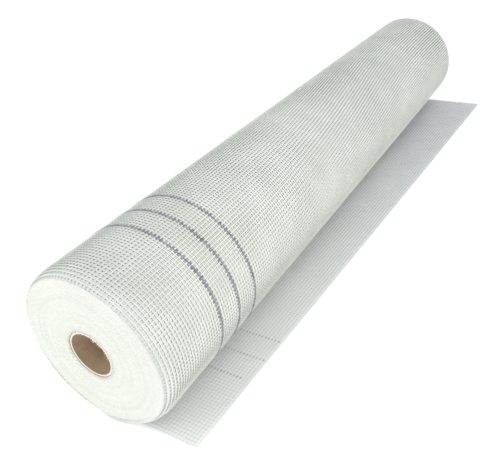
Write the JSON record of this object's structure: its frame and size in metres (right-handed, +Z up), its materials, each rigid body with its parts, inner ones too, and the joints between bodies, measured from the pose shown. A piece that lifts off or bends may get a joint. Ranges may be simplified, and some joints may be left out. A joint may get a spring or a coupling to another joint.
{
  "type": "roll of fiberglass mesh",
  "caption": "Roll of open-weave fiberglass mesh on a cardboard core, lying on its side with its loose end drawn out flat.",
  "frame": {"origin": "on the floor, under the roll's axis, midway along the web's width", "axes": "+Y along the roll's axis towards the far end, +X towards the loose end, +Z up"},
  "size_m": [0.26, 1.012, 0.194],
  "materials": {
    "fiberglass_mesh": "matte coated glass yarn, pale greenish white",
    "cardboard": "matte brown paperboard"
  },
  "bodies": {
    "root": {"mesh_roll": "fiberglass_mesh", "cardboard_core": "cardboard"}
  },
  "joints": []
}
